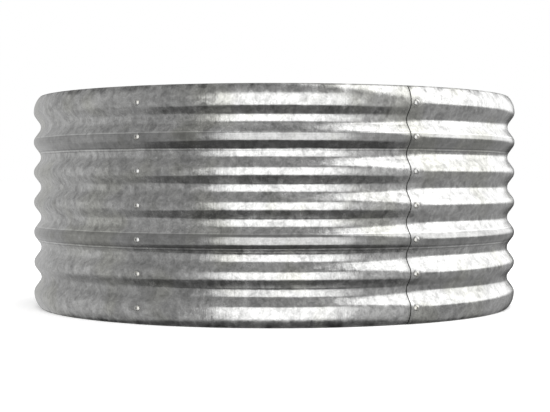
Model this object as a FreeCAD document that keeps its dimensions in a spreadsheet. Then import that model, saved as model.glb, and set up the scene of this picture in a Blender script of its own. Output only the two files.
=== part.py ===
import FreeCAD, Part
import os
from math import asin, pi, radians, sqrt
import Sketcher

# A round raised garden bed: an open ring of curved, horizontally corrugated sheet panels, whose top and
# bottom edges curl inward. Each panel's start laps outside the end of the panel before it, and a column
# of bolts with washers and nuts, one on every crest, holds each lap. The ring stands on its bottom edge.
# Millimetres, +Z up, origin on the ground in the middle of the ring.

DRIVING_SIZES = [
    ("wall_height", 360, "bottom edge to top edge"),
    ("crest_radius", 420, "outside radius of a panel, on its crests"),
    ("wave_count", 7, "corrugations in the height"),
    ("wave_depth", 12, "valley to crest"),
    ("flank_angle", 36, "slope of a straight flank away from upright, in degrees"),
    ("edge_slope", 45, "slope of the curled top and bottom edges, away from upright, in degrees"),
    ("sheet_thickness", 0.8, "one sheet"),
    ("panel_count", 6, "panels round the ring"),
    ("edge_margin", 8.5, "bolt column to the panel's cut edge, along the crest"),
    ("sheet_gap", 0.15, "between two lapped sheets, where they come nearest"),
    ("bolt_diameter", 5, "thread"),
    ("hole_clearance", 0.5, "how much wider than the bolt a panel's hole is"),
    ("head_diameter", 9.5, "bolt head"),
    ("head_height", 2.6, "bolt head, to the top of its dome"),
    ("head_rim", 0.5, "straight side of the head, below the dome"),
    ("thread_end", 1.5, "thread that stands past the nut"),
    ("tip_chamfer", 0.5, "at the bolt's end"),
    ("washer_diameter", 10, "outside"),
    ("washer_clearance", 0.3, "how much wider than the bolt a washer's bore is"),
    ("washer_thickness", 1, "one washer"),
    ("nut_width", 8, "across the flats"),
    ("nut_height", 4, "along the bolt"),
]

# What follows from the driving sizes. Half a wave is two equal bends and a straight flank, which gives
# the bend's radius in the middle of the sheet. A curled edge is one wider bend, from the last crest to
# the cut, and its radius is the inside one. A panel is round about an axis of its own, beside the ring's
# axis, so that its start lies one lap step further out than its end, and the two sheets come nearest
# where they slope most. A head touches the crest at the rim of the hole. A washer touches the hollow of
# the crest, on the bend, or on the flanks if it is wide.
WORKED_SIZES = [
    ("wave_pitch", "Sizes.wall_height / Sizes.wave_count"),
    ("bend_radius", "(wave_pitch / 2 * sin(Sizes.flank_angle) - Sizes.wave_depth * cos(Sizes.flank_angle))"
                    " / (2 * (1 - cos(Sizes.flank_angle)))"),
    ("inside_bend", "bend_radius - Sizes.sheet_thickness / 2"),
    ("crest_centre", "Sizes.crest_radius - Sizes.sheet_thickness / 2 - bend_radius"),
    ("crest_span", "wave_pitch * (Sizes.wave_count - 1)"),
    ("edge_bend", "wave_pitch / 2 / sin(Sizes.edge_slope)"),
    ("panel_angle", "360 / Sizes.panel_count"),
    ("margin_angle", "Sizes.edge_margin / Sizes.crest_radius * 180 / pi"),
    ("lap_step", "(Sizes.sheet_thickness + Sizes.sheet_gap)"
                 " / cos(max(Sizes.flank_angle; Sizes.edge_slope))"),
    ("axis_offset", "lap_step / (2 * sin(panel_angle / 2))"),
    ("side_offset", "axis_offset * cos(panel_angle / 2)"),
    ("hole_radius", "(Sizes.bolt_diameter + Sizes.hole_clearance) / 2"),
    ("head_seat", "lap_step / 2 + sqrt(Sizes.crest_radius ^ 2 - (hole_radius - side_offset) ^ 2)"),
    ("washer_reach", "Sizes.washer_diameter / 2"),
    ("bend_reach", "inside_bend * sin(Sizes.flank_angle)"),
    ("hollow_depth", "washer_reach < bend_reach"
                     " ? crest_centre + sqrt(abs(inside_bend ^ 2 - washer_reach ^ 2))"
                     " : crest_centre + inside_bend * cos(Sizes.flank_angle)"
                     " - (washer_reach - bend_reach) * tan(Sizes.flank_angle)"),
    ("washer_seat", "sqrt(hollow_depth ^ 2 - side_offset ^ 2) - lap_step / 2"),
    ("nut_seat", "washer_seat - Sizes.washer_thickness"),
    ("shank_length", "head_seat - nut_seat + Sizes.nut_height + Sizes.thread_end"),
]

START, END, CENTRE = 1, 2, 3        # points of a sketched line or arc
LEVEL_AXIS, VERTICAL_AXIS = -1, -2  # the sketch's own axes
ORIGIN = (-1, 1)                    # and the point where they cross


def add_sheet(doc, name, rows):
    """A spreadsheet with a row for each size: what it is, then its value under an alias."""
    sheet = doc.addObject("Spreadsheet::Sheet", name)
    for number, (alias, value, *note) in enumerate(rows, start=1):
        sheet.set(f"A{number}", note[0] if note else alias.replace("_", " "))
        sheet.set(f"B{number}", f"={value}" if isinstance(value, str) else str(value))
        sheet.setAlias(f"B{number}", alias)
    doc.recompute()
    return sheet


def bind(feature, expressions):
    for path, expression in expressions.items():
        feature.setExpression(path, expression)


def origin_part(body, role):
    """One of a body's own origin planes or axes."""
    return next(part for part in body.Origin.OriginFeatures if part.Role == role)


class Drawing:
    """A sketch on one of a body's origin planes, whose dimensions are bound to the sheets."""

    def __init__(self, body, name, plane):
        self.sketch = body.newObject("Sketcher::SketchObject", name)
        self.sketch.AttachmentSupport = [(origin_part(body, plane), "")]
        self.sketch.MapMode = "FlatFace"

    def draw(self, shapes, construction=False):
        return self.sketch.addGeometry(shapes, construction)

    def hold(self, kind, *where):
        self.sketch.addConstraint(Sketcher.Constraint(kind, *where))

    def measure(self, name, kind, *where, value, expression):
        """A dimension drawn at its value and bound to an expression."""
        index = self.sketch.addConstraint(Sketcher.Constraint(kind, *where, value))
        self.sketch.renameConstraint(index, name)
        self.sketch.setExpression(f"Constraints.{name}", expression)


def flat(across, up=0):
    return FreeCAD.Vector(across, up, 0)


def circle(centre, radius):
    return Part.Circle(centre, FreeCAD.Vector(0, 0, 1), radius)


def arc(centre, radius, first, last):
    return Part.ArcOfCircle(circle(centre, radius), first, last)


def wave_side(size, worked, from_middle):
    """One side of a wave of sheet, from crest to crest, at a distance from the middle of the sheet."""
    slope = radians(size("flank_angle"))
    foot, top = -worked("crest_span") / 2, worked("wave_pitch") - worked("crest_span") / 2
    crest_bend, valley_bend = worked("bend_radius") + from_middle, worked("bend_radius") - from_middle
    valley_centre = worked("crest_centre") + 2 * worked("bend_radius") - size("wave_depth")
    lower_crest = arc(flat(worked("crest_centre"), foot), crest_bend, 0, slope)
    valley = arc(flat(valley_centre, (foot + top) / 2), valley_bend, pi - slope, pi + slope)
    upper_crest = arc(flat(worked("crest_centre"), top), crest_bend, -slope, 0)
    falling = Part.LineSegment(lower_crest.EndPoint, valley.EndPoint)
    rising = Part.LineSegment(valley.StartPoint, upper_crest.StartPoint)
    return [lower_crest, falling, valley, rising, upper_crest]


def draw_wave(body, size, worked):
    """The section of one wave of sheet: two sides of bends and flanks, closed at both crests."""
    outside = wave_side(size, worked, size("sheet_thickness") / 2)
    inside = wave_side(size, worked, -size("sheet_thickness") / 2)
    outer_valley = outside[2].Center - flat(outside[2].Radius)
    drawing = Drawing(body, "WaveSection", "XZ_Plane")
    drawing.draw(outside + inside)
    drawing.draw([
        Part.LineSegment(outside[0].StartPoint, inside[0].StartPoint),
        Part.LineSegment(outside[4].EndPoint, inside[4].EndPoint),
    ])
    drawing.draw(Part.Point(outer_valley), True)
    lower_crest, falling, valley, rising, upper_crest = range(5)
    to_inside = 5
    foot_line, top_line, valley_point = 10, 11, 12
    for side in (0, to_inside):
        drawing.hold("Tangent", side + lower_crest, END, side + falling, START)
        drawing.hold("Tangent", side + falling, END, side + valley, END)
        drawing.hold("Tangent", side + valley, START, side + rising, START)
        drawing.hold("Tangent", side + rising, END, side + upper_crest, START)
    for line, crest, corner in ((foot_line, lower_crest, START), (top_line, upper_crest, END)):
        drawing.hold("Coincident", line, START, crest, corner)
        drawing.hold("Coincident", line, END, crest + to_inside, corner)
        drawing.hold("Horizontal", line)
        drawing.hold("PointOnObject", crest, CENTRE, line)
    for bend in (lower_crest, valley, upper_crest):
        drawing.hold("Coincident", bend, CENTRE, bend + to_inside, CENTRE)
    drawing.hold("Vertical", foot_line, START, top_line, START)
    drawing.hold("Equal", foot_line, top_line)
    drawing.hold("PointOnObject", valley_point, START, valley)
    drawing.hold("Horizontal", valley_point, START, valley, CENTRE)
    drawing.hold("Parallel", rising, rising + to_inside)
    drawing.hold("Equal", lower_crest, upper_crest)
    drawing.hold("Equal", valley, lower_crest + to_inside)
    drawing.measure("drop", "DistanceY", foot_line, START, *ORIGIN,
                    value=worked("crest_span") / 2, expression="Worked.crest_span / 2")
    drawing.measure("pitch", "DistanceY", foot_line, START, top_line, START,
                    value=worked("wave_pitch"), expression="Worked.wave_pitch")
    drawing.measure("half_pitch", "DistanceY", foot_line, START, valley, CENTRE,
                    value=worked("wave_pitch") / 2, expression="Worked.wave_pitch / 2")
    drawing.measure("crest_radius", "DistanceX", *ORIGIN, foot_line, START,
                    value=size("crest_radius"), expression="Sizes.crest_radius")
    drawing.measure("depth", "DistanceX", valley_point, START, foot_line, START,
                    value=size("wave_depth"), expression="Sizes.wave_depth")
    drawing.measure("thickness", "Distance", foot_line,
                    value=size("sheet_thickness"), expression="Sizes.sheet_thickness")
    drawing.measure("flank", "Angle", rising,
                    value=radians(90 - size("flank_angle")), expression="(90 - Sizes.flank_angle) * 1 deg")
    return drawing.sketch


def draw_curl(body, size, worked):
    """The section of the curled bottom edge: one bend from the lowest crest to a level cut."""
    crest, half_pitch = -worked("crest_span") / 2, worked("wave_pitch") / 2
    bends = [worked("edge_bend") + size("sheet_thickness"), worked("edge_bend")]
    centre = flat(size("crest_radius") - bends[0], crest)
    outside, inside = [arc(centre, bend, -asin(half_pitch / bend), 0) for bend in bends]
    drawing = Drawing(body, "CurlSection", "XZ_Plane")
    drawing.draw([outside, inside, Part.LineSegment(outside.EndPoint, inside.EndPoint),
                  Part.LineSegment(outside.StartPoint, inside.StartPoint)])
    outer_bend, inner_bend, crest_line, cut_line = range(4)
    drawing.hold("Coincident", outer_bend, CENTRE, inner_bend, CENTRE)
    for line, corner in ((crest_line, END), (cut_line, START)):
        drawing.hold("Coincident", line, START, outer_bend, corner)
        drawing.hold("Coincident", line, END, inner_bend, corner)
        drawing.hold("Horizontal", line)
    drawing.hold("PointOnObject", outer_bend, CENTRE, crest_line)
    drawing.measure("drop", "DistanceY", crest_line, START, *ORIGIN,
                    value=worked("crest_span") / 2, expression="Worked.crest_span / 2")
    drawing.measure("half_pitch", "DistanceY", cut_line, START, crest_line, START,
                    value=half_pitch, expression="Worked.wave_pitch / 2")
    drawing.measure("crest_radius", "DistanceX", *ORIGIN, crest_line, START,
                    value=size("crest_radius"), expression="Sizes.crest_radius")
    drawing.measure("thickness", "Distance", crest_line,
                    value=size("sheet_thickness"), expression="Sizes.sheet_thickness")
    drawing.measure("bend", "Radius", inner_bend,
                    value=worked("edge_bend"), expression="Worked.edge_bend")
    return drawing.sketch


def draw_hole(body, worked):
    """The lowest bolt hole. Its axis meets the ring's axis, which lies beside the panel's own."""
    centre = flat(worked("side_offset"), -worked("crest_span") / 2)
    drawing = Drawing(body, "HoleSection", "YZ_Plane")
    drawing.draw(circle(centre, worked("hole_radius")))
    drawing.measure("across", "DistanceX", *ORIGIN, 0, CENTRE,
                    value=centre.x, expression="Worked.side_offset")
    drawing.measure("drop", "DistanceY", 0, CENTRE, *ORIGIN,
                    value=-centre.y, expression="Worked.crest_span / 2")
    drawing.measure("radius", "Radius", 0,
                    value=worked("hole_radius"), expression="Worked.hole_radius")
    return drawing.sketch


def draw_bolt(body, size, worked):
    """Half a bolt's section along its axis: chamfered shank, flat seat and domed head."""
    shank, chamfer = worked("shank_length"), size("tip_chamfer")
    thread, head = size("bolt_diameter") / 2, size("head_diameter") / 2
    rim, crown = size("head_rim"), size("head_height") - size("head_rim")
    dome_radius = (head ** 2 + crown ** 2) / (2 * crown)
    dome = arc(flat(size("head_height") - dome_radius), dome_radius, 0, asin(head / dome_radius))
    corners = [dome.StartPoint, flat(-shank), flat(-shank, thread - chamfer), flat(chamfer - shank, thread),
               flat(0, thread), flat(0, head), flat(rim, head)]
    drawing = Drawing(body, "BoltSection", "XZ_Plane")
    drawing.draw([Part.LineSegment(*pair) for pair in zip(corners, corners[1:])] + [dome])
    axis, end, slope, side, seat, edge, top = range(7)
    for line in (axis, end, slope, side, seat):
        drawing.hold("Coincident", line, END, line + 1, START)
    drawing.hold("Coincident", edge, END, top, END)
    drawing.hold("Coincident", top, START, axis, START)
    drawing.hold("PointOnObject", axis, START, LEVEL_AXIS)
    drawing.hold("PointOnObject", axis, END, LEVEL_AXIS)
    drawing.hold("PointOnObject", top, CENTRE, LEVEL_AXIS)
    for line in (end, seat):
        drawing.hold("Vertical", line)
    for line in (side, edge):
        drawing.hold("Horizontal", line)
    drawing.hold("PointOnObject", seat, START, VERTICAL_AXIS)
    drawing.measure("shank", "DistanceX", axis, END, *ORIGIN,
                    value=shank, expression="Worked.shank_length")
    drawing.measure("chamfer_length", "DistanceX", end, END, slope, END,
                    value=chamfer, expression="Sizes.tip_chamfer")
    drawing.measure("chamfer_depth", "DistanceY", end, END, slope, END,
                    value=chamfer, expression="Sizes.tip_chamfer")
    drawing.measure("thread", "DistanceY", *ORIGIN, side, END,
                    value=thread, expression="Sizes.bolt_diameter / 2")
    drawing.measure("head", "DistanceY", *ORIGIN, edge, START,
                    value=head, expression="Sizes.head_diameter / 2")
    drawing.measure("rim", "DistanceX", *ORIGIN, edge, END,
                    value=rim, expression="Sizes.head_rim")
    drawing.measure("height", "DistanceX", *ORIGIN, top, START,
                    value=size("head_height"), expression="Sizes.head_height")
    return drawing.sketch


def draw_washer(body, size):
    drawing = Drawing(body, "WasherSection", "YZ_Plane")
    bore = size("bolt_diameter") + size("washer_clearance")
    drawing.draw([circle(flat(0), size("washer_diameter") / 2), circle(flat(0), bore / 2)])
    for ring in range(2):
        drawing.hold("Coincident", ring, CENTRE, *ORIGIN)
    drawing.measure("outside", "Diameter", 0,
                    value=size("washer_diameter"), expression="Sizes.washer_diameter")
    drawing.measure("bore", "Diameter", 1,
                    value=bore, expression="Sizes.bolt_diameter + Sizes.washer_clearance")
    return drawing.sketch


def draw_nut(body, size):
    """A hexagon with two flats upright, and the bore that the thread fills."""
    drawing = Drawing(body, "NutSection", "YZ_Plane")
    flat_to_middle = size("nut_width") / 2
    corner_to_middle = size("nut_width") / sqrt(3)
    corners = [flat(flat_to_middle, -corner_to_middle / 2), flat(flat_to_middle, corner_to_middle / 2),
               flat(0, corner_to_middle), flat(-flat_to_middle, corner_to_middle / 2),
               flat(-flat_to_middle, -corner_to_middle / 2), flat(0, -corner_to_middle)]
    drawing.draw([Part.LineSegment(*pair) for pair in zip(corners, corners[1:] + corners[:1])])
    drawing.draw(circle(flat(0), size("bolt_diameter") / 2))
    drawing.draw(circle(flat(0), corner_to_middle), True)
    bore, corner_circle = 6, 7
    for line in range(6):
        drawing.hold("Coincident", line, END, (line + 1) % 6, START)
        drawing.hold("PointOnObject", line, START, corner_circle)
    for line in range(1, 6):
        drawing.hold("Equal", 0, line)
    drawing.hold("Vertical", 0)
    for ring in (bore, corner_circle):
        drawing.hold("Coincident", ring, CENTRE, *ORIGIN)
    drawing.measure("half_width", "DistanceX", *ORIGIN, 0, START,
                    value=flat_to_middle, expression="Sizes.nut_width / 2")
    drawing.measure("bore", "Diameter", bore,
                    value=size("bolt_diameter"), expression="Sizes.bolt_diameter")
    return drawing.sketch


def sweep(body, name, section, axis, expressions):
    """A section turned round one of its sketch's own axes."""
    turned = body.newObject("PartDesign::Revolution", name)
    turned.Profile = section
    turned.ReferenceAxis = (section, [axis])
    turned.Type = "TwoAngles"
    bind(turned, expressions)
    return turned


def pattern_up(body, name, copies):
    """A pattern that repeats something up the wall, one wave apart."""
    pattern = body.newObject("PartDesign::LinearPattern", name)
    pattern.Direction = (origin_part(body, "Z_Axis"), [""])
    pattern.Mode = "Spacing"
    bind(pattern, {"Offset": "Worked.wave_pitch", "Occurrences": copies})
    return pattern


def make_body(doc, label):
    body = doc.addObject("PartDesign::Body", "".join(word.title() for word in label.split("_")))
    body.Label = label
    return body


def place(body, turn, along, height, lead="0"):
    """Stands a body at a turn about the ring's axis, moved out along the direction turn + lead."""
    body.Placement = FreeCAD.Placement(FreeCAD.Vector(), FreeCAD.Rotation(FreeCAD.Vector(0, 0, 1), 0))
    bind(body, {
        "Placement.Rotation.Angle": f"({turn}) * 1 deg",
        "Placement.Base.x": f"{along} * cos({turn} + {lead})",
        "Placement.Base.y": f"{along} * sin({turn} + {lead})",
        "Placement.Base.z": height,
    })


def make_panel(doc, number, size, worked):
    """A curved panel about its middle height: waves of sheet, a curl at either edge, and bolt holes."""
    body = make_body(doc, f"wall_panel_{number}")
    arc_of_panel = {"Angle": "Worked.panel_angle + Worked.margin_angle", "Angle2": "Worked.margin_angle"}
    wave = sweep(body, "Wave", draw_wave(body, size, worked), "V_Axis", arc_of_panel)
    waves = pattern_up(body, "Waves", "Sizes.wave_count - 1")
    waves.Originals = [wave]
    body.Tip = waves
    curl = sweep(body, "Curl", draw_curl(body, size, worked), "V_Axis", arc_of_panel)
    curls = body.newObject("PartDesign::Mirrored", "Curls")
    curls.Originals = [curl]
    curls.MirrorPlane = (origin_part(body, "XY_Plane"), [""])
    body.Tip = curls
    doc.recompute()
    hole = body.newObject("PartDesign::Pocket", "Hole")
    hole.Profile = draw_hole(body, worked)
    hole.Type = "ThroughAll"
    hole.Reversed = True
    holes = body.newObject("PartDesign::MultiTransform", "Holes")
    holes.Originals = [hole]
    column = pattern_up(body, "HoleColumn", "Sizes.wave_count")
    both_ends = body.newObject("PartDesign::PolarPattern", "BothEnds")
    both_ends.Axis = (origin_part(body, "Z_Axis"), [""])
    both_ends.Mode = "Spacing"
    both_ends.Occurrences = 2
    bind(both_ends, {"Offset": "Worked.panel_angle"})
    holes.Transformations = [column, both_ends]
    body.Tip = holes
    doc.recompute()
    if holes.Shape.Volume >= curls.Shape.Volume:
        raise RuntimeError(f"{body.Label}: its holes cut nothing")
    place(body, f"{number - 1} * Worked.panel_angle", "Worked.axis_offset", "Sizes.wall_height / 2",
          lead="Worked.panel_angle / 2 - 90")
    return body


def make_fasteners(doc, kind, seam, seat, make_one):
    """A seam's column of one kind of fastener: separate solids, one on each crest."""
    body = make_body(doc, f"seam_{kind}_{seam}")
    body.AllowCompound = True
    one = make_one(body)
    column = pattern_up(body, "Column", "Sizes.wave_count")
    column.Originals = [one]
    body.Tip = column
    place(body, f"{seam - 1} * Worked.panel_angle", seat, "Worked.wave_pitch / 2")
    return body


def make_seam(doc, seam, size, worked):
    """The fasteners of a seam. Each kind is drawn from its seat, and lies inward of it."""
    def bolt(body):
        return sweep(body, "Bolt", draw_bolt(body, size, worked), "H_Axis", {"Angle": "180", "Angle2": "180"})

    def plate(body, name, section, thickness):
        pad = body.newObject("PartDesign::Pad", name)
        pad.Profile = section
        pad.Reversed = True
        bind(pad, {"Length": thickness})
        return pad

    return [
        make_fasteners(doc, "bolts", seam, "Worked.head_seat", bolt),
        make_fasteners(doc, "washers", seam, "Worked.washer_seat",
                       lambda body: plate(body, "Washer", draw_washer(body, size), "Sizes.washer_thickness")),
        make_fasteners(doc, "nuts", seam, "Worked.nut_seat",
                       lambda body: plate(body, "Nut", draw_nut(body, size), "Sizes.nut_height")),
    ]


def check(doc, bodies, solid_counts):
    """Stops if anything failed to build, or a sub-part isn't the solids it should be."""
    for thing in doc.Objects:
        if {"Invalid", "Error"} & set(thing.State):
            raise RuntimeError(f"{thing.Label} failed: {thing.State}")
    for body, solids in zip(bodies, solid_counts):
        if body.Shape.isNull() or not body.Shape.isValid():
            raise RuntimeError(f"{body.Label} isn't a valid shape")
        if len(body.Shape.Solids) != solids:
            raise RuntimeError(f"{body.Label} has {len(body.Shape.Solids)} solids, not {solids}")


def main():
    doc = FreeCAD.newDocument("RaisedGardenBed")
    sizes = add_sheet(doc, "Sizes", DRIVING_SIZES)
    worked_sizes = add_sheet(doc, "Worked", WORKED_SIZES)

    def size(alias):
        return float(sizes.get(alias))

    def worked(alias):
        return float(worked_sizes.get(alias))

    numbers = range(1, int(size("panel_count")) + 1)
    panels = [make_panel(doc, number, size, worked) for number in numbers]
    fasteners = [body for seam in numbers for body in make_seam(doc, seam, size, worked)]
    doc.recompute()
    check(doc, panels + fasteners, [1] * len(panels) + [int(size("wave_count"))] * len(fasteners))
    os.makedirs("parts", exist_ok=True)
    for body in panels + fasteners:
        body.Shape.exportStep(f"parts/{body.Label}.step")
        print(f"{body.Label}: {len(body.Shape.Solids)} solids, {body.Shape.Volume / 1000:.2f} cm3")


main()
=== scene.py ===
from math import asin, cos, hypot, pi, radians, sin, sqrt, tan

import bmesh
import bpy
from mathutils import Matrix, Vector
from mathutils.noise import noise as perlin


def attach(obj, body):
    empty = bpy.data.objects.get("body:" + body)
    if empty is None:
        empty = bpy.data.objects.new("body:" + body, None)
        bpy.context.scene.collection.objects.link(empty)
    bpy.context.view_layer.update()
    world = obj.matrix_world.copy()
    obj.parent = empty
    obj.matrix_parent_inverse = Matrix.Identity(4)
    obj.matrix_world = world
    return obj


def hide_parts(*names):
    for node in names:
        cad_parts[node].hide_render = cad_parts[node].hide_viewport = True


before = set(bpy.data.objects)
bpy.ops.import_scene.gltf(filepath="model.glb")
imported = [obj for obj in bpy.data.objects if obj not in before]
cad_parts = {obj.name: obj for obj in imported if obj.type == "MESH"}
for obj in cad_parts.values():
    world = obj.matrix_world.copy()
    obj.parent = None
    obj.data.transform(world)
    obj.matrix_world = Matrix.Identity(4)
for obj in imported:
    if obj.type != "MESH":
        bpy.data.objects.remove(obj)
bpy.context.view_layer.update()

# A round garden bed of lapped, corrugated galvanised panels, standing on its bottom edge.
# Metres, +Z up, middle of the ring on the ground at the origin.


class Wire:
    # one socket of a material, so that shader maths reads as an expression
    def __init__(self, tree, socket=None):
        self.tree = tree
        self.socket = socket

    def node(self, kind, settings=None, sockets=None, out=0):
        made = self.tree.nodes.new(kind)
        for name, value in (settings or {}).items():
            setattr(made, name, value)
        for key, value in (sockets or {}).items():
            if isinstance(value, Wire):
                self.tree.links.new(value.socket, made.inputs[key])
            else:
                made.inputs[key].default_value = value
        return Wire(self.tree, made.outputs[out]) if made.outputs else None

    def math(self, operation, *values):
        return self.node("ShaderNodeMath", {"operation": operation}, dict(enumerate(values)))

    def __add__(self, other):
        return self.math("ADD", self, other)

    def __sub__(self, other):
        return self.math("SUBTRACT", self, other)

    def __rsub__(self, other):
        return self.math("SUBTRACT", other, self)

    def __mul__(self, other):
        return self.math("MULTIPLY", self, other)

    def __truediv__(self, other):
        return self.math("DIVIDE", self, other)

    __radd__ = __add__
    __rmul__ = __mul__


def newFinish(name):
    finish = bpy.data.materials.new(name)
    finish.use_nodes = True
    finish.node_tree.nodes.clear()
    return finish, Wire(finish.node_tree)


def blendColours(mask, first, second):
    return mask.node("ShaderNodeMix", {"data_type": "RGBA"}, {0: mask, 6: first, 7: second}, 2)


def tint(colour, amount):
    # a colour made lighter or darker by a number around 1
    grey = amount.node("ShaderNodeCombineColor", None, {0: amount, 1: amount, 2: amount})
    return amount.node("ShaderNodeMix", {"data_type": "RGBA", "blend_type": "MULTIPLY"},
                       {0: 1.0, 6: colour, 7: grey}, 2)


def smooth(value, low, high):
    # 0 below low, 1 above high, and smooth between them
    return value.node("ShaderNodeMapRange", {"interpolation_type": "SMOOTHSTEP"},
                      {"Value": value, "From Min": low, "From Max": high})


def noise(place, scale, detail=2.0, roughness=0.5, distortion=0.0, out=0):
    return place.node("ShaderNodeTexNoise", None, {"Vector": place, "Scale": scale, "Detail": detail,
                                                   "Roughness": roughness, "Distortion": distortion}, out)


def between(value, low, high, edge):
    return smooth(value, low - edge, low + edge) * (1 - smooth(value, high - edge, high + edge))


def stretched(place, along, up, depth=1.0):
    return place.node("ShaderNodeVectorMath", {"operation": "MULTIPLY"}, {0: place, 1: (along, up, depth)})


def output(surface):
    surface.node("ShaderNodeOutputMaterial", None, {"Surface": surface})


panel = {
    "height": 0.360,
    "crestRadius": 0.420,
    "waves": 7,
    "depth": 0.012,
    "flank": radians(36),
    "edgeSlope": radians(45),
    "sheet": 0.0008,
    "count": 6,
    "margin": 0.0085,           # bolt column to the cut edge
    "gap": 0.00015,             # between lapped sheets
    "bendSteps": 7,             # mesh rows on a bend
    "flankSteps": 3,
    "curlSteps": 12,
    "middleColumns": 44,        # mesh columns between the two bolt columns' finer ones
    "hollow": 0.00025,          # how far a tightened bolt pulls the sheet in
    "hollowReach": 0.012,
    "ripple": 0.00016,          # slow unevenness of the rolled sheet
    "rippleScale": (9, 14, 5.3),  # along the sheet, up it, and from one panel to the next
    "calmRim": 0.01,            # from the rim, over which hollows and unevenness grow
    "fineColumn": 0.0022,       # width of the finer ones, and how far past the lap they go
    "finePast": 0.004,
    "sharpAngle": 40,           # degrees, above which an edge isn't smoothed
    "shiftFinish": 1.7,         # moves the mottle from one panel to the next
    "lapShadeAndDirt": (0.6, 0.4, 0.7, 0.03, 1.0, 0.5),  # painted shade and dirt beside each panel's lapped end
}
panelAngle = 2 * pi / panel["count"]
pitch = panel["height"] / panel["waves"]
halfPitch = pitch / 2
crestHeights = [pitch * (number + 0.5) for number in range(panel["waves"])]
marginAngle = panel["margin"] / panel["crestRadius"]
lapStep = (panel["sheet"] + panel["gap"]) / cos(max(panel["flank"], panel["edgeSlope"]))
axisOffset = lapStep / (2 * sin(panelAngle / 2))
# half a wave is two equal bends with a straight flank between them
bend = ((halfPitch * sin(panel["flank"]) - panel["depth"] * cos(panel["flank"]))
        / (2 * (1 - cos(panel["flank"]))))
curlBend = halfPitch / sin(panel["edgeSlope"])


def arcPoints(centre, radius, first, last, steps):
    return [(centre[0] + radius * cos(first + (last - first) * k / steps),
             centre[1] + radius * sin(first + (last - first) * k / steps)) for k in range(steps + 1)]


def sheetSide(offset):
    # (radius, height) points up one side of the sheet, at an offset from its middle
    slope, steps = panel["flank"], panel["bendSteps"]
    crestCentre = panel["crestRadius"] - panel["sheet"] / 2 - bend
    valleyCentre = crestCentre + 2 * bend - panel["depth"]
    curl = curlBend + panel["sheet"] / 2 + offset
    curlCentre = panel["crestRadius"] - panel["sheet"] - curlBend
    end = asin(halfPitch / curl)
    points = arcPoints((curlCentre, crestHeights[0]), curl, -end, 0, panel["curlSteps"])
    for low, high in zip(crestHeights, crestHeights[1:]):
        valley = (low + high) / 2
        lower = arcPoints((crestCentre, low), bend + offset, 0, slope, steps)
        middle = arcPoints((valleyCentre, valley), bend - offset, pi + slope, pi - slope, 2 * steps)
        upper = arcPoints((crestCentre, high), bend + offset, -slope, 0, steps)
        points += lower[1:] + flankPoints(lower[-1], middle[0]) + middle
        points += flankPoints(middle[-1], upper[0]) + upper
    top = arcPoints((curlCentre, crestHeights[-1]), curl, 0, end, panel["curlSteps"])
    return points + top[1:]


def flankPoints(start, end):
    steps = panel["flankSteps"]
    return [(start[0] + (end[0] - start[0]) * k / steps, start[1] + (end[1] - start[1]) * k / steps)
            for k in range(1, steps)]


def columnAngles():
    # closer together beside the two bolt columns, where the sheet is pulled in
    total = panelAngle + 2 * marginAngle
    near = (2 * panel["margin"] + panel["finePast"]) / panel["crestRadius"]
    fineSteps = round(near / (panel["fineColumn"] / panel["crestRadius"]))
    edge = [k * near / fineSteps for k in range(fineSteps + 1)]
    steps = panel["middleColumns"]
    middle = [near + (total - 2 * near) * k / steps for k in range(1, steps)]
    return [angle - marginAngle for angle in edge + middle + [total - angle for angle in reversed(edge)]]


def sheetShift(number, angle, height):
    # outward shift of the sheet: slow unevenness, and hollows round the tightened bolts
    along = angle * panel["crestRadius"]
    alongScale, upScale, panelScale = panel["rippleScale"]
    shift = panel["ripple"] * perlin(Vector((along * alongScale, height * upScale, number * panelScale)))
    for column in (0, panelAngle * panel["crestRadius"]):
        for crest in crestHeights:
            away = hypot(along - column, height - crest) / panel["hollowReach"]
            if away < 1:
                shift -= panel["hollow"] * (1 - away * away) ** 2
    return shift


def buildPanel(number, finish, edgeFinish):
    turn = (number - 1) * panelAngle
    lead = turn + panelAngle / 2 - pi / 2
    centre = Vector((axisOffset * cos(lead), axisOffset * sin(lead), 0))
    sides = [sheetSide(panel["sheet"] / 2), sheetSide(-panel["sheet"] / 2)]
    angles = columnAngles()
    shell = bmesh.new()
    places = []
    grids = []
    for facing, side in zip((1, -1), sides):
        grid = []
        for angle in angles:
            column = []
            for (radius, height), (_, outerHeight) in zip(side, sides[0]):
                grown = min(1, min(outerHeight, panel["height"] - outerHeight) / panel["calmRim"])
                out = radius + sheetShift(number, angle, outerHeight) * grown
                column.append(shell.verts.new((centre.x + out * cos(turn + angle),
                                               centre.y + out * sin(turn + angle), height)))
                places.append(((angle + marginAngle) * panel["crestRadius"], outerHeight, facing))
            grid.append(column)
        grids.append(grid)
    outer, inner = grids
    for c in range(len(angles) - 1):
        for r in range(len(outer[0]) - 1):
            shell.faces.new((outer[c][r], outer[c + 1][r], outer[c + 1][r + 1], outer[c][r + 1]))
            shell.faces.new((inner[c][r], inner[c][r + 1], inner[c + 1][r + 1], inner[c + 1][r]))
    cuts = []
    for c in range(len(angles) - 1):
        cuts.append((outer[c][0], inner[c][0], inner[c + 1][0], outer[c + 1][0]))
        cuts.append((outer[c][-1], outer[c + 1][-1], inner[c + 1][-1], inner[c][-1]))
    for r in range(len(outer[0]) - 1):
        cuts.append((outer[0][r], outer[0][r + 1], inner[0][r + 1], inner[0][r]))
        cuts.append((outer[-1][r], inner[-1][r], inner[-1][r + 1], outer[-1][r + 1]))
    for corners in cuts:
        face = shell.faces.new(corners)
        face.material_index = 1
    return finishMesh(shell, f"wallPanel_{number}", [finish, edgeFinish], places, number, panel["sharpAngle"])


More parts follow.
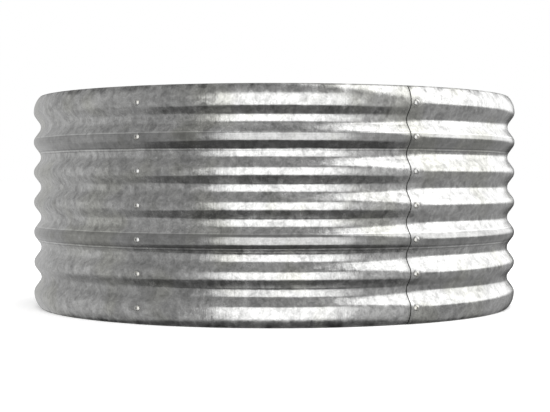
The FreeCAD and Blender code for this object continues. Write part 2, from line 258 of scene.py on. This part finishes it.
def finishMesh(shell, name, finishes, places, number, sharpAngle):
    # smooth shading, edges kept sharp where faces meet steeply, and the sheet's own coordinates
    shell.normal_update()
    for face in shell.faces:
        face.smooth = True
    for edge in shell.edges:
        if len(edge.link_faces) == 2 and edge.calc_face_angle() > radians(sharpAngle):
            edge.smooth = False
    mesh = bpy.data.meshes.new(name)
    shell.to_mesh(mesh)
    shell.free()
    for finish in finishes:
        mesh.materials.append(finish)
    if places:
        where = mesh.attributes.new("onSheet", "FLOAT_VECTOR", "POINT")
        layer = number * panel["shiftFinish"]
        where.data.foreach_set("vector", [x for along, up, _ in places for x in (along, up, layer)])
        lap = mesh.attributes.new("lapShadeAndDirt", "FLOAT", "POINT")
        lap.data.foreach_set("value", [panel["lapShadeAndDirt"][number - 1]] * len(places))
        facing = mesh.attributes.new("facing", "FLOAT", "POINT")
        facing.data.foreach_set("value", [side for _, _, side in places])
    piece = bpy.data.objects.new(name, mesh)
    bpy.context.scene.collection.objects.link(piece)
    return piece


galvanised = {
    "zinc": (0.52, 0.52, 0.515, 1),
    "olive": (0.48, 0.48, 0.447, 1),
    "pale": (0.60, 0.60, 0.60, 1),
    "grimeAndShade": (0.045, 0.045, 0.042, 1),
    "spangle": 115,              # crystals to a metre
    "spangleRagged": 0.006,      # how far their borders wander
    "spangleTilt": 0.025,
    "spangleShade": 0.20,
    "cloud": (16, 0.5),          # mottle, from large to small: its scale, and how much it shades
    "patch": (48, 0.19),
    "fleck": (115, 1.1),
    "grain": (420, 0.55),
    "streak": (120, 38, 0.08),   # marks of the rolling: scale along the sheet and up it, and shading
    "hairline": (480, 45, 0.16),
    "rubbed": (9, 620, 0.10),
    "roughness": 0.205,
    "bands": ((0.2655, 0.2884), (0.1175, 0.1385)),  # foot and top of the smoother rolled bands
    "bandShade": 0.72,
    "bandRubbed": 0.26,
    "bandWander": 0.0014,        # how unevenly a band's borders run
    "footLines": ((-0.0006, 0.0012), (-0.0044, -0.0028)),  # dark lines, from a band's foot
    "topLines": ((-0.0004, 0.0012), (-0.0024, -0.0010)),   # bright lines, from its top and its foot
    "lineShade": 0.30,
    "seamShadowLine": 0.0006,          # width of the dark line beside a lapped edge: painted shadow, with some dirt
    "seamHazeAndShade": 0.15,
    "boltContactShade": (0.0048, 0.0060, 0.22),  # painted shade round a bolt's head and washer: radii between which it ends, and how much
    # a wider smudge of dirt round a bolt, given the same way
    "boltHaze": (0.004, 0.014, 0.10),
    "rimAndFootDark": (0.0008, 0.0026, 0.7),    # darkening along the rim and the foot: distances between which it ends, and how much
    "rimStain": (0.002, 0.013, 0.52),
    "lowShadeBand": (0.042, 0.070, 0.17),    # the heights between which a band of painted shade darkens the wall low down, and how much
    "relief": 0.0006,            # depth of the bumps
}


def makeGalvanised():
    look = galvanised
    finish, start = newFinish("galvanisedSheet")
    place = start.node("ShaderNodeAttribute", {"attribute_name": "onSheet"}, None, "Vector")
    facing = start.node("ShaderNodeAttribute", {"attribute_name": "facing"}, None, "Fac")
    lapShadeAndDirt = start.node("ShaderNodeAttribute", {"attribute_name": "lapShadeAndDirt"}, None, "Fac")
    solid = start.node("ShaderNodeTexCoord", None, None, "Object")
    along, up = [place.node("ShaderNodeSeparateXYZ", None, {0: place}, axis) for axis in "XY"]
    geometry = start.node("ShaderNodeNewGeometry", None, None, "Normal")

    # crystals of zinc, with ragged borders
    wobble = noise(solid, 260, 3, 0.6, out="Color")
    ragged = solid.node("ShaderNodeVectorMath", {"operation": "MULTIPLY_ADD"},
                        {0: wobble, 1: (look["spangleRagged"],) * 3, 2: solid})
    crystal = ragged.node("ShaderNodeTexVoronoi", {"feature": "F1"},
                          {"Vector": ragged, "Scale": look["spangle"], "Randomness": 1.0}, "Color")
    crystalShade = crystal.node("ShaderNodeSeparateColor", None, {0: crystal}, 0)

    # mottle at several sizes
    cloud = noise(solid, look["cloud"][0], 3, 0.55, 0.4)
    patch = noise(solid, look["patch"][0], 3, 0.6, 0.6)
    fleck = noise(solid, look["fleck"][0], 3, 0.65, 0.5)
    grain = noise(solid, look["grain"][0], 3, 0.7)
    streak = noise(stretched(place, *look["streak"][:2]), 1.0, 3, 0.6, 0.4)
    hairline = noise(stretched(place, *look["hairline"][:2]), 1.0, 3, 0.6)
    rubbed = noise(stretched(place, *look["rubbed"][:2]), 1.0, 4, 0.65)
    tintCloud = noise(solid, 11, 2, 0.5, 0.3)

    # the smoother bands, with dark lines below them and bright ones at their top and foot
    level = up + (noise(stretched(place, 14, 3), 1.0, 2) - 0.5) * look["bandWander"]
    (footLow, footHigh), (belowLow, belowHigh) = look["footLines"]
    (topLow, topHigh), (underLow, underHigh) = look["topLines"]
    bandMask, footLines, topLines = None, None, None
    for low, high in look["bands"]:
        band = between(level, low, high, 0.0006)
        foot = (between(level, low + footLow, low + footHigh, 0.0005)
                + between(level, low + belowLow, low + belowHigh, 0.0005))
        line = (between(level, high + topLow, high + topHigh, 0.0005)
                + between(level, low + underLow, low + underHigh, 0.0005))
        bandMask = band if bandMask is None else bandMask + band
        footLines = foot if footLines is None else footLines + foot
        topLines = line if topLines is None else topLines + line

    # dirt and painted shade: painted shadow beside each lapped edge on the side where it shows, painted shade
    # and dirt round the bolts, and darkening along rim and foot
    margin = panel["margin"]
    length = (panelAngle + 2 * marginAngle) * panel["crestRadius"]
    outside = smooth(facing, -0.2, 0.2)
    dirtPlay = noise(stretched(place, 30, 60), 1.0, 3)
    fromLap = (length - 2 * margin - along) * outside + (along - 2 * margin) * (1 - outside)
    # a painted shadow line beside the lapped edge, and a wider haze of painted shade and dirt
    seamShadowLine = between(fromLap, -0.0006, look["seamShadowLine"], 0.0003) * smooth(dirtPlay, 0.25, 0.5) * lapShadeAndDirt
    seamHazeAndShade = between(fromLap, -0.001, 0.004, 0.003) * look["seamHazeAndShade"] * lapShadeAndDirt
    upward = geometry.node("ShaderNodeSeparateXYZ", None, {0: geometry}, "Z")
    seamShadowLine = seamShadowLine * (1 - smooth(upward, 0.1, 0.5) * 0.8)   # the painted shadow line is weaker on flanks that face up
    wave = ((up / pitch).math("FRACT", up / pitch) - 0.5) * pitch
    boltShadeAndDirt = None
    ringLow, ringHigh, ringShade = look["boltContactShade"]
    hazeLow, hazeHigh, hazeDirt = look["boltHaze"]
    # painted shade where each bolt head and washer meets the sheet, and a wider smudge of dirt
    for column in (margin, length - margin):
        squared = (along - column) * (along - column) + wave * wave
        away = squared.math("SQRT", squared)
        ring = (1 - smooth(away, ringLow, ringHigh)) * ringShade
        ring = ring + (1 - smooth(away, hazeLow, hazeHigh)) * hazeDirt
        boltShadeAndDirt = ring if boltShadeAndDirt is None else boltShadeAndDirt + ring
    fromRim = up.math("MINIMUM", up, panel["height"] - up)
    # darker along the rim and the foot
    low, high, amount = look["rimAndFootDark"]
    rimAndFootDark = (1 - smooth(fromRim, low, high)) * smooth(noise(stretched(place, 60, 8), 1.0, 3), 0.22, 0.58)
    dirtAndShade = seamShadowLine + seamHazeAndShade + boltShadeAndDirt + rimAndFootDark * amount
    dirtAndShade = dirtAndShade.node("ShaderNodeClamp", None, {0: dirtAndShade})
    low, high, amount = look["rimStain"]
    stainPlay = smooth(noise(stretched(place, 45, 30), 1.0, 4, 0.6), 0.42, 0.62)
    rimStain = (1 - smooth(fromRim, low, high)) * stainPlay * amount
    # painted shade in a band low on the wall
    low, high, amount = look["lowShadeBand"]
    lowShadeBand = between(up, low, high, 0.008) * amount

    # colour
    shade = 1.0 + (cloud - 0.5) * look["cloud"][1] + (smooth(patch, 0.40, 0.60) - 0.5) * look["patch"][1]
    shade = shade + (fleck - 0.5) * look["fleck"][1] + (grain - 0.5) * look["grain"][1]
    shade = shade + (crystalShade - 0.5) * look["spangleShade"]
    shade = shade + (smooth(streak, 0.38, 0.62) - 0.5) * look["streak"][2]
    shade = shade + (hairline - 0.5) * look["hairline"][2]
    shade = 1 + (shade - 1) * (1 - bandMask * 0.35)   # the bands are more even
    shade = shade + (rubbed - 0.5) * (look["rubbed"][2] + bandMask * look["bandRubbed"]) - rimStain
    shade = shade * (1 - bandMask * (1 - look["bandShade"])) * (1 - footLines * look["lineShade"])
    shade = (shade + topLines * look["lineShade"]) * (1 - lowShadeBand)
    colour = blendColours(smooth(tintCloud, 0.50, 0.66) * 0.8, look["zinc"], look["olive"])
    colour = blendColours(smooth(patch, 0.60, 0.80) * 0.5, colour, look["pale"])
    colour = tint(colour, shade)
    # dirt and painted shade share one dark colour
    colour = blendColours(dirtAndShade, colour, look["grimeAndShade"])

    # gloss
    rough = look["roughness"] + (patch - 0.5) * 0.18 + (streak - 0.5) * 0.16 + (crystalShade - 0.5) * 0.05
    rough = rough - bandMask * 0.04 + dirtAndShade * 0.35
    metal = 1 - dirtAndShade * 0.6

    # relief: tilted crystals, fine grain, slow dents
    tilt = crystal.node("ShaderNodeVectorMath", {"operation": "SUBTRACT"}, {0: crystal, 1: (0.5, 0.5, 0.5)})
    leaning = tilt.node("ShaderNodeVectorMath", {"operation": "MULTIPLY_ADD"},
                        {0: tilt, 1: (look["spangleTilt"],) * 3, 2: geometry})
    leaning = leaning.node("ShaderNodeVectorMath", {"operation": "NORMALIZE"}, {0: leaning})
    relief = grain * 0.22 + hairline * 0.5 + patch * 0.3 + cloud * 0.8 - topLines * 0.3
    bump = relief.node("ShaderNodeBump", None, {"Strength": 0.35, "Distance": look["relief"],
                                                "Height": relief, "Normal": leaning})
    surface = colour.node("ShaderNodeBsdfPrincipled", None,
                          {"Base Color": colour, "Metallic": metal, "Roughness": rough, "Normal": bump})
    output(surface)
    return finish


cutEdge = {
    "dark": (0.055, 0.055, 0.053, 1),
    "light": (0.13, 0.13, 0.125, 1),
    "roughness": 0.42,
}


def makeCutEdge():
    # sheared steel at the sheet's edges, only thinly coated; its colour is kept very dark to paint in the shade
    # of the gap beside a lapped edge as well
    finish, start = newFinish("cutEdge")
    solid = start.node("ShaderNodeTexCoord", None, None, "Object")
    scratches = noise(stretched(solid, 300, 300, 900), 1.0, 3)
    dull = noise(solid, 40, 2)
    colour = blendColours(smooth(dull, 0.4, 0.62), cutEdge["dark"], cutEdge["light"])
    colour = tint(colour, 0.8 + scratches * 0.4)
    bump = scratches.node("ShaderNodeBump", None, {"Strength": 0.3, "Distance": 0.0002, "Height": scratches})
    surface = colour.node("ShaderNodeBsdfPrincipled", None,
                          {"Base Color": colour, "Metallic": 0.9,
                           "Roughness": cutEdge["roughness"] + scratches * 0.15, "Normal": bump})
    output(surface)
    return finish


fastener = {
    "thread": 0.0025,            # radii and lengths, in metres
    "threadPitch": 0.0008,
    "threadDepth": 0.00028,
    "head": 0.00475,
    "headHeight": 0.0026,
    "headRim": 0.0005,
    "recess": 0.0023,            # reach of the driver's cross
    "recessWidth": 0.00095,
    "recessDepth": 0.0016,
    "past": 0.0015,              # thread past the nut
    "hole": 0.00275,             # in the sheets
    "tip": (0.0004, 0.0006, 0.00025),  # the point: its length, and how far its end and its foot step in
    "threadStart": 0.0005,       # from the tip
    "threadLength": 0.0046,
    "softEdge": 0.00012,         # corners of heads and washers
    "washer": 0.005,
    "washerBore": 0.00265,
    "washerThickness": 0.001,
    "nutWidth": 0.008,
    "nutHeight": 0.004,
    "nutAround": 72,
    "around": 36,
    "sharpAngle": 32,
}


def seats():
    # distances of a seam's seats from the ring's axis, along the bolt
    side = axisOffset * cos(panelAngle / 2)
    head = lapStep / 2 + sqrt(panel["crestRadius"] ** 2 - (fastener["hole"] - side) ** 2)
    inside = bend - panel["sheet"] / 2
    crestCentre = panel["crestRadius"] - panel["sheet"] / 2 - bend
    hollow = crestCentre + sqrt(inside ** 2 - fastener["washer"] ** 2)
    washer = sqrt(hollow ** 2 - side ** 2) - lapStep / 2
    return head, washer, washer - fastener["washerThickness"]


def lathe(shell, profile, around, ring=None):
    # turns (x, radius) points about the X axis; ring(angle, x, radius) may change a radius
    rows = []
    for x, radius in profile:
        if radius < 1e-7:
            rows.append([shell.verts.new((x, 0, 0))])
            continue
        row = []
        for k in range(around):
            angle = 2 * pi * k / around
            r = ring(angle, x, radius) if ring else radius
            row.append(shell.verts.new((x, r * cos(angle), r * sin(angle))))
        rows.append(row)
    for first, second in zip(rows, rows[1:]):
        for k in range(around):
            n = (k + 1) % around
            if len(first) == 1 and len(second) == 1:
                continue
            if len(first) == 1:
                shell.faces.new((first[0], second[n], second[k]))
            elif len(second) == 1:
                shell.faces.new((first[k], first[n], second[0]))
            else:
                shell.faces.new((first[k], first[n], second[n], second[k]))
    return rows


def boltShape(seatGap):
    # along +X outward, seat plane at x = 0
    size = fastener
    crown = size["headHeight"] - size["headRim"]
    dome = (size["head"] ** 2 + crown ** 2) / (2 * crown)
    shell = bmesh.new()
    tip = -(seatGap + size["nutHeight"] + size["past"])
    tipLength, endStep, footStep = size["tip"]
    thread, head, soft = size["thread"], size["head"], size["softEdge"]
    first, rise = tip + size["threadStart"], size["threadPitch"] / 6
    profile = [(tip, 0), (tip, thread - endStep), (tip + tipLength, thread - footStep)]
    profile += [(first + k * rise, thread) for k in range(round(size["threadLength"] / rise) + 1)]
    profile += [(first + size["threadLength"] + 0.0005, thread), (0, thread), (0, head - soft)]
    profile += [(soft, head), (size["headRim"] * 0.8, head)]
    topCentre = size["headHeight"] - dome
    for k in range(1, 9):
        lean = asin(head * 0.985 / dome) * (1 - k / 8)
        profile.append((topCentre + dome * cos(lean), dome * sin(lean)))

    def screw(angle, x, radius):
        if radius != thread or x > first + size["threadLength"] + 0.0001:
            return radius
        turn = ((x - tip) / size["threadPitch"] - angle / (2 * pi)) % 1
        return radius - size["threadDepth"] * abs(2 * turn - 1)

    lathe(shell, profile, size["around"], screw)
    bmesh.ops.recalc_face_normals(shell, faces=shell.faces)
    return shell


def crossCutter():
    # the tapering cross that a driver fits
    size = fastener
    shell = bmesh.new()
    top, foot = size["headHeight"] + 0.0006, size["headHeight"] - size["recessDepth"]
    rings = []
    for x, reach, half in ((foot, size["recess"] * 0.35, size["recessWidth"] * 0.34),
                           (top, size["recess"] * 1.12, size["recessWidth"] * 0.55)):
        outline = []
        for quarter in range(4):
            for y, z in ((reach, -half), (reach, half), (half, half)):
                turn = quarter * pi / 2
                across, upward = y * cos(turn) - z * sin(turn), y * sin(turn) + z * cos(turn)
                outline.append(shell.verts.new((x, across, upward)))
        rings.append(outline)
    low, high = rings
    for k in range(12):
        n = (k + 1) % 12
        shell.faces.new((low[k], low[n], high[n], high[k]))
    shell.faces.new(low[::-1])
    shell.faces.new(high)
    bmesh.ops.recalc_face_normals(shell, faces=shell.faces)
    return shell


def toMesh(shell, name):
    mesh = bpy.data.meshes.new(name)
    shell.to_mesh(mesh)
    shell.free()
    return mesh


def boltMesh(seatGap):
    bolt = bpy.data.objects.new("boltBlank", toMesh(boltShape(seatGap), "boltBlank"))
    cutter = bpy.data.objects.new("crossCutter", toMesh(crossCutter(), "crossCutter"))
    for thing in (bolt, cutter):
        bpy.context.scene.collection.objects.link(thing)
    cut = bolt.modifiers.new("cross", "BOOLEAN")
    cut.object, cut.operation, cut.solver = cutter, "DIFFERENCE", "EXACT"
    bpy.context.view_layer.update()
    result = bpy.data.meshes.new_from_object(bolt.evaluated_get(bpy.context.evaluated_depsgraph_get()))
    for thing in (bolt, cutter):
        bpy.data.objects.remove(thing)
    return result


def washerMesh():
    size = fastener
    bore, rim, thick, soft = size["washerBore"], size["washer"], size["washerThickness"], size["softEdge"]
    profile = [(0, bore + soft), (0, rim - soft), (-soft, rim), (-thick + soft, rim), (-thick, rim - soft),
               (-thick, bore + soft), (-thick + soft, bore), (-soft, bore), (0, bore + soft)]
    shell = bmesh.new()
    lathe(shell, profile, size["around"])
    bmesh.ops.remove_doubles(shell, verts=shell.verts, dist=1e-7)
    bmesh.ops.recalc_face_normals(shell, faces=shell.faces)
    return toMesh(shell, "washer")


def nutMesh():
    # a hexagon whose corners are turned off on both faces, and a countersunk bore
    size = fastener
    half, tall, bore = size["nutWidth"] / 2, size["nutHeight"], size["thread"]
    face = half * 0.95

    def hexagon(angle, x, radius):
        if radius <= bore * 1.3:
            return radius
        side = (angle + pi / 6) % (pi / 3) - pi / 6
        depth = min(-x, tall + x)
        return min(half / cos(side), face + depth / tan(radians(30)), radius)

    wide, mouth, sink = 0.006, bore * 1.15, 0.0004   # past the corners, and the countersink
    lower = [0, 0.0001, 0.0002, 0.0003, 0.00042]     # close rows where the corners are turned off
    rows = lower + [tall / 2] + [tall - row for row in reversed(lower)]
    profile = [(0, mouth)] + [(-row, wide) for row in rows] + [(-tall, mouth)]
    profile += [(-tall + sink, bore), (-sink, bore), (0, mouth)]
    shell = bmesh.new()
    lathe(shell, profile, size["nutAround"], hexagon)
    bmesh.ops.remove_doubles(shell, verts=shell.verts, dist=1e-7)
    bmesh.ops.recalc_face_normals(shell, faces=shell.faces)
    return toMesh(shell, "nut")


def fastenerColumn(name, part, seam, seat, finish, turns):
    # one piece of seven, each turned its own way on its bolt
    shell = bmesh.new()
    azimuth = Matrix.Rotation((seam - 1) * panelAngle, 4, "Z")
    for number, crest in enumerate(crestHeights):
        spin = Matrix.Rotation(turns(seam * 7 + number), 4, "X")
        place = azimuth @ Matrix.Translation((seat, 0, crest)) @ spin
        copy = part.copy()
        copy.transform(place)
        shell.from_mesh(copy)
        bpy.data.meshes.remove(copy)
    return finishMesh(shell, f"{name}_{seam}", [finish], None, seam, fastener["sharpAngle"])


zincPlate = {
    "bolt": {"colour": (0.60, 0.60, 0.59, 1), "roughness": 0.38},
    "washer": {"colour": (0.66, 0.66, 0.63, 1), "roughness": 0.34},
    "nut": {"colour": (0.68, 0.67, 0.62, 1), "roughness": 0.30},
}


def makePlating(kind):
    look = zincPlate[kind]
    finish, start = newFinish(f"{kind}Plating")
    solid = start.node("ShaderNodeTexCoord", None, None, "Object")
    haze = noise(solid, 140, 3, 0.6, 0.3)
    scuffs = noise(stretched(solid, 900, 900, 2600), 1.0, 3, 0.6)
    pointed = start.node("ShaderNodeNewGeometry", None, None, "Pointiness")
    # painted shade in the hollows, with some grime there
    hollow = 1 - smooth(pointed, 0.44, 0.5)
    worn = smooth(pointed, 0.52, 0.58)
    dark = tuple(0.22 * channel for channel in look["colour"][:3]) + (1,)
    warm = tuple(channel * amount for channel, amount in zip(look["colour"], (0.97, 0.93, 0.80, 1)))
    colour = blendColours(smooth(haze, 0.46, 0.66) * 0.55, look["colour"], warm)
    colour = tint(colour, 0.92 + (scuffs - 0.5) * 0.25 + worn * 0.10)
    colour = blendColours(hollow * 0.7, colour, dark)
    rough = look["roughness"] + (haze - 0.5) * 0.2 + (scuffs - 0.5) * 0.15 + hollow * 0.25
    relief = scuffs * 0.5 + haze
    bump = relief.node("ShaderNodeBump", None, {"Strength": 0.25, "Distance": 0.0001, "Height": relief})
    surface = colour.node("ShaderNodeBsdfPrincipled", None,
                          {"Base Color": colour, "Metallic": 1.0, "Roughness": rough, "Normal": bump})
    output(surface)
    return finish


studio = {
    "cameraPlace": (0.001, -2.3335, 0.2167),
    "cameraTurn": -0.59,         # degrees round the ring
    "cameraTilt": 1.1,
    "lens": 85.9,
    "floorSize": 300.0,
    "floorLift": 0.64,           # makes the floor white to the camera
    "floorNear": (0.5, 1.1, 0.24),  # less of it near the ring, so that its shadow shows
    "grey": 0.42,                # what the metal mostly reflects
    "below": 0.14,
    "tentRadius": 5.0,
    "sky": 0.45,                 # the world's strength for plain light; to the camera and in gloss it is 1
    "lamps": {                   # place, target, size, power
        "frontLamp": ((0.3, -3.2, 2.0), (0, 0, 0.1), (2.6, 1.6), 60),
        "topLamp": ((0.6, 0.4, 3.2), (0, 0, 0), (3.0, 3.0), 90),
    },
}

# cards in the tent: degrees round from the camera and up from the horizon, then how soft their edges are
cards = {
    "front": {"round": (-25.5, 33, 7), "up": (-42, 38, 5), "glow": 1.88},
    "side": {"round": (72, 200, 6), "up": (3, 82, 5), "glow": 2.15, "slant": 0.42, "fade": (100, 125, 0.24)},
    "corner": {"round": (38, 62, 10), "up": (-40, 50, 8), "lift": 0.22},
    "left": {"round": (-170, -75, 14), "rise": (-38, -18), "fall": (5, 55), "lift": 0.19},
}


def makeTent():
    # a tent that only reflections see: grey, with the cards, and dark below and behind
    light = studio
    front, side, corner, left = [cards[name] for name in ("front", "side", "corner", "left")]
    shell = bmesh.new()
    bmesh.ops.create_icosphere(shell, subdivisions=4, radius=light["tentRadius"])
    mesh = toMesh(shell, "studioTent")
    tent = bpy.data.objects.new("studioTent", mesh)
    bpy.context.scene.collection.objects.link(tent)
    finish, start = newFinish("tentGlow")
    spot = start.node("ShaderNodeTexCoord", None, None, "Object")
    way = spot.node("ShaderNodeVectorMath", {"operation": "NORMALIZE"}, {0: spot})
    x, y, z = [way.node("ShaderNodeSeparateXYZ", None, {0: way}, axis) for axis in "XYZ"]
    azimuth = x.math("ARCTAN2", x, y * -1.0) * (180 / pi)   # 0 at the camera, + to its right
    height = z.math("ARCSINE", z) * (180 / pi)
    frontMask = between(azimuth, *front["round"]) * between(height, *front["up"])
    sideMask = between(azimuth + height * side["slant"], *side["round"]) * between(height, *side["up"])
    fadeFrom, fadeTo, fade = side["fade"]
    sideMask = sideMask * (1 - smooth(azimuth, fadeFrom, fadeTo) * fade)
    cornerMask = between(azimuth, *corner["round"]) * between(height, *corner["up"])
    leftMask = between(azimuth, *left["round"]) * smooth(height, *left["rise"])
    leftMask = leftMask * (1 - smooth(height, *left["fall"]))
    overhead = smooth(height, 15, 50)
    behind = smooth(azimuth.math("ABSOLUTE", azimuth), 100, 140)
    below = 1 - smooth(height - behind * 20, -51, -44)
    back = smooth(azimuth, 142, 156) + 1 - smooth(azimuth, -168, -156)
    glow = light["grey"] * (1 - overhead * 0.06) + frontMask * (front["glow"] - light["grey"])
    glow = glow + leftMask * left["lift"] + sideMask * (side["glow"] - light["grey"])
    glow = glow + cornerMask * corner["lift"]
    glow = glow * (1 - back * 0.87) * (1 - below) + below * light["below"]
    surface = glow.node("ShaderNodeEmission", None, {"Color": tint((1, 1, 1, 1), glow), "Strength": 1.0})
    output(surface)
    finish.cycles.emission_sampling = "NONE"
    mesh.materials.append(finish)
    tent.visible_camera = tent.visible_diffuse = tent.visible_shadow = False
    tent.visible_transmission = tent.visible_volume_scatter = False
    return tent


def makeFloor():
    shell = bmesh.new()
    half = studio["floorSize"] / 2
    corners = ((-half, -half), (half, -half), (half, half), (-half, half))
    shell.faces.new([shell.verts.new((x, y, 0)) for x, y in corners])
    mesh = toMesh(shell, "floor")
    floorPiece = bpy.data.objects.new("floor", mesh)
    bpy.context.scene.collection.objects.link(floorPiece)
    finish, start = newFinish("paleFloor")
    seen = start.node("ShaderNodeLightPath", None, None, "Is Camera Ray")
    spot = start.node("ShaderNodeTexCoord", None, None, "Object")
    reach = spot.node("ShaderNodeVectorMath", {"operation": "LENGTH"}, {0: spot}, "Value")
    nearFrom, nearTo, dip = studio["floorNear"]
    near = 1 - smooth(reach, nearFrom, nearTo)
    matt = start.node("ShaderNodeBsdfDiffuse", None, {"Color": (0.85, 0.85, 0.85, 1)})
    lift = seen.node("ShaderNodeEmission", None,
                     {"Color": (1, 1, 1, 1), "Strength": seen * (studio["floorLift"] - near * dip)})
    surface = matt.node("ShaderNodeAddShader", None, {0: matt, 1: lift})
    output(surface)
    mesh.materials.append(finish)
    floorPiece.visible_glossy = False
    return floorPiece


def makeWorld():
    world = bpy.data.worlds.new("studioWorld")
    world.use_nodes = True
    world.node_tree.nodes.clear()
    start = Wire(world.node_tree)
    seen = [start.node("ShaderNodeLightPath", None, None, ray)
            for ray in ("Is Camera Ray", "Is Glossy Ray", "Is Transmission Ray")]
    background = seen[0].math("MAXIMUM", seen[0].math("MAXIMUM", seen[0], seen[1]), seen[2])
    sky = background.node("ShaderNodeBackground", None,
                          {"Color": (1, 1, 1, 1), "Strength": studio["sky"] + background * (1 - studio["sky"])})
    sky.node("ShaderNodeOutputWorld", None, {"Surface": sky})
    bpy.context.scene.world = world


def addLamp(name, place, target, size, power):
    lamp = bpy.data.lights.new(name, "AREA")
    lamp.shape = "RECTANGLE"
    lamp.size, lamp.size_y = size
    lamp.energy = power
    piece = bpy.data.objects.new(name, lamp)
    piece.location = place
    piece.rotation_euler = (Vector(target) - Vector(place)).to_track_quat("-Z", "Y").to_euler()
    piece.visible_glossy = False
    bpy.context.scene.collection.objects.link(piece)


def makeCamera():
    view = studio
    lens = bpy.data.cameras.new("camera")
    lens.sensor_width = 36
    lens.lens = view["lens"]
    camera = bpy.data.objects.new("camera", lens)
    turn = Matrix.Rotation(radians(view["cameraTurn"]), 4, "Z")
    tilt = Matrix.Rotation(pi / 2 - radians(view["cameraTilt"]), 4, "X")
    camera.matrix_world = turn @ Matrix.Translation(view["cameraPlace"]) @ tilt
    bpy.context.scene.collection.objects.link(camera)
    bpy.context.scene.camera = camera


sheetFinish, edgeFinish = makeGalvanised(), makeCutEdge()
for number in range(1, panel["count"] + 1):
    piece = buildPanel(number, sheetFinish, edgeFinish)
    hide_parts(f"wall_panel_{number}")
    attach(piece, "root")
print("panels rolled")

headSeat, washerSeat, nutSeat = seats()
shapes = {"bolts": boltMesh(headSeat - nutSeat), "washers": washerMesh(), "nuts": nutMesh()}
places = {"bolts": headSeat, "washers": washerSeat, "nuts": nutSeat}
turnsOf = {"bolts": lambda n: (n * 37 % 90) * pi / 180, "washers": lambda n: n * 0.7,
           "nuts": lambda n: radians(n * 23 % 60)}
for kind, shape in shapes.items():
    single = kind[:-1]
    plating = makePlating(single)
    for seam in range(1, panel["count"] + 1):
        piece = fastenerColumn(f"seam{kind.title()}", shape, seam, places[kind], plating, turnsOf[kind])
        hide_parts(f"seam_{kind}_{seam}")
        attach(piece, "root")
print("seams bolted")

makeTent()
makeFloor()
makeWorld()
for lampName, (place, target, size, power) in studio["lamps"].items():
    addLamp(lampName, place, target, size, power)
makeCamera()
bpy.context.scene.view_settings.view_transform = "Standard"
print("studio lit")
